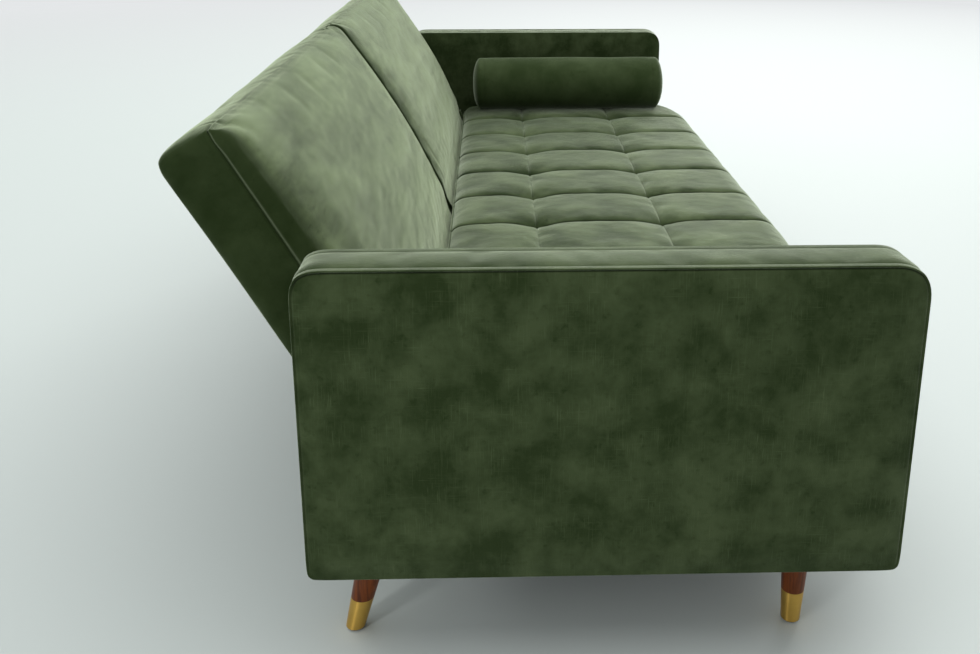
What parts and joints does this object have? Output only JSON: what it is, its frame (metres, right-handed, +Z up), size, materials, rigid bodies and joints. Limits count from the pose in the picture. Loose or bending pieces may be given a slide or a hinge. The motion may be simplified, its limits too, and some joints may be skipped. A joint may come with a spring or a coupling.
{
  "type": "futon sofa bed",
  "caption": "Click-clack futon sofa bed in green velvet: tufted seat, split reclining back on ratchet hinges, flat padded arms, loose bolster and tapered wood legs with brass tips.",
  "frame": {"origin": "on the floor, under the middle of the sofa's box as stored", "axes": "+X along the sofa to the sitter's left-hand arm, +Y to the back, +Z up; the front faces -Y"},
  "size_m": [2.1, 0.998, 0.7264],
  "materials": {
    "velvet": "short-pile velvet, muted olive green",
    "polished_brass": "polished",
    "stained_wood": "red-brown stain, satin lacquer",
    "black_plastic": "matt",
    "pale_wood": "bare beech",
    "black_cloth": "non-woven",
    "zinc_steel": "zinc plated",
    "black_steel": "black powder coat"
  },
  "bodies": {
    "base": {"seat_front_rail": "black_steel", "seat_rear_rail": "black_steel", "seat_left_rail": "black_steel", "seat_right_rail": "black_steel", "seat_centre_rail": "black_steel", "seat_slats": "pale_wood", "seat_cushion": "velvet", "seat_under_cloth": "black_cloth", "leg_plates": "black_steel", "leg_bolts": "zinc_steel", "leg_glides": "black_plastic", "leg_front_left": "stained_wood", "leg_front_right": "stained_wood", "leg_rear_left": "stained_wood", "leg_rear_right": "stained_wood", "leg_centre_front": "stained_wood", "leg_centre_rear": "stained_wood", "ferrule_front_left": "polished_brass", "ferrule_front_right": "polished_brass", "ferrule_rear_left": "polished_brass", "ferrule_rear_right": "polished_brass", "ferrule_centre_front": "polished_brass", "ferrule_centre_rear": "polished_brass", "arm_left_timbers": "pale_wood", "arm_right_timbers": "pale_wood", "arm_left_cover": "velvet", "arm_right_cover": "velvet", "arm_under_cloths": "black_cloth", "arm_bolts": "zinc_steel", "bracket_left": "black_steel", "bracket_right": "black_steel", "bracket_centre": "black_steel", "hinge_bolts": "zinc_steel", "hinge_nuts": "zinc_steel", "hinge_washers": "zinc_steel", "pawl_pins": "zinc_steel", "pawl_springs": "zinc_steel"},
    "back_left": {"ratchet_left": "black_steel", "hinge_leaf_left": "black_steel", "back_left_frame": "black_steel", "back_left_slats": "pale_wood", "back_left_cushion": "velvet"},
    "back_right": {"ratchet_right": "black_steel", "hinge_leaf_right": "black_steel", "back_right_frame": "black_steel", "back_right_slats": "pale_wood", "back_right_cushion": "velvet"},
    "pawl_left": {"pawl_left": "black_steel"},
    "pawl_right": {"pawl_right": "black_steel"},
    "bolster": {"bolster": "velvet"}
  },
  "joints": [
    {"name": "back_left_recline", "type": "hinge", "parent": "base", "child": "back_left", "pos_m": [-0.485, 0.23097, 0.292], "axis": [-1, 0, 0], "range_deg": [-18, 60]},
    {"name": "back_right_recline", "type": "hinge", "parent": "base", "child": "back_right", "pos_m": [0.485, 0.23097, 0.292], "axis": [-1, 0, 0], "range_deg": [-18, 60]},
    {"name": "pawl_left_swing", "type": "hinge", "parent": "base", "child": "pawl_left", "pos_m": [-0.945, 0.18075, 0.30546], "axis": [1, 0, 0], "range_deg": [0, 12]},
    {"name": "pawl_right_swing", "type": "hinge", "parent": "base", "child": "pawl_right", "pos_m": [0.945, 0.18075, 0.30546], "axis": [1, 0, 0], "range_deg": [0, 12]},
    {"name": "bolster_lift", "type": "slide", "parent": "base", "child": "bolster", "axis": [0, 0, 1], "range_m": [0, 0.3]}
  ]
}
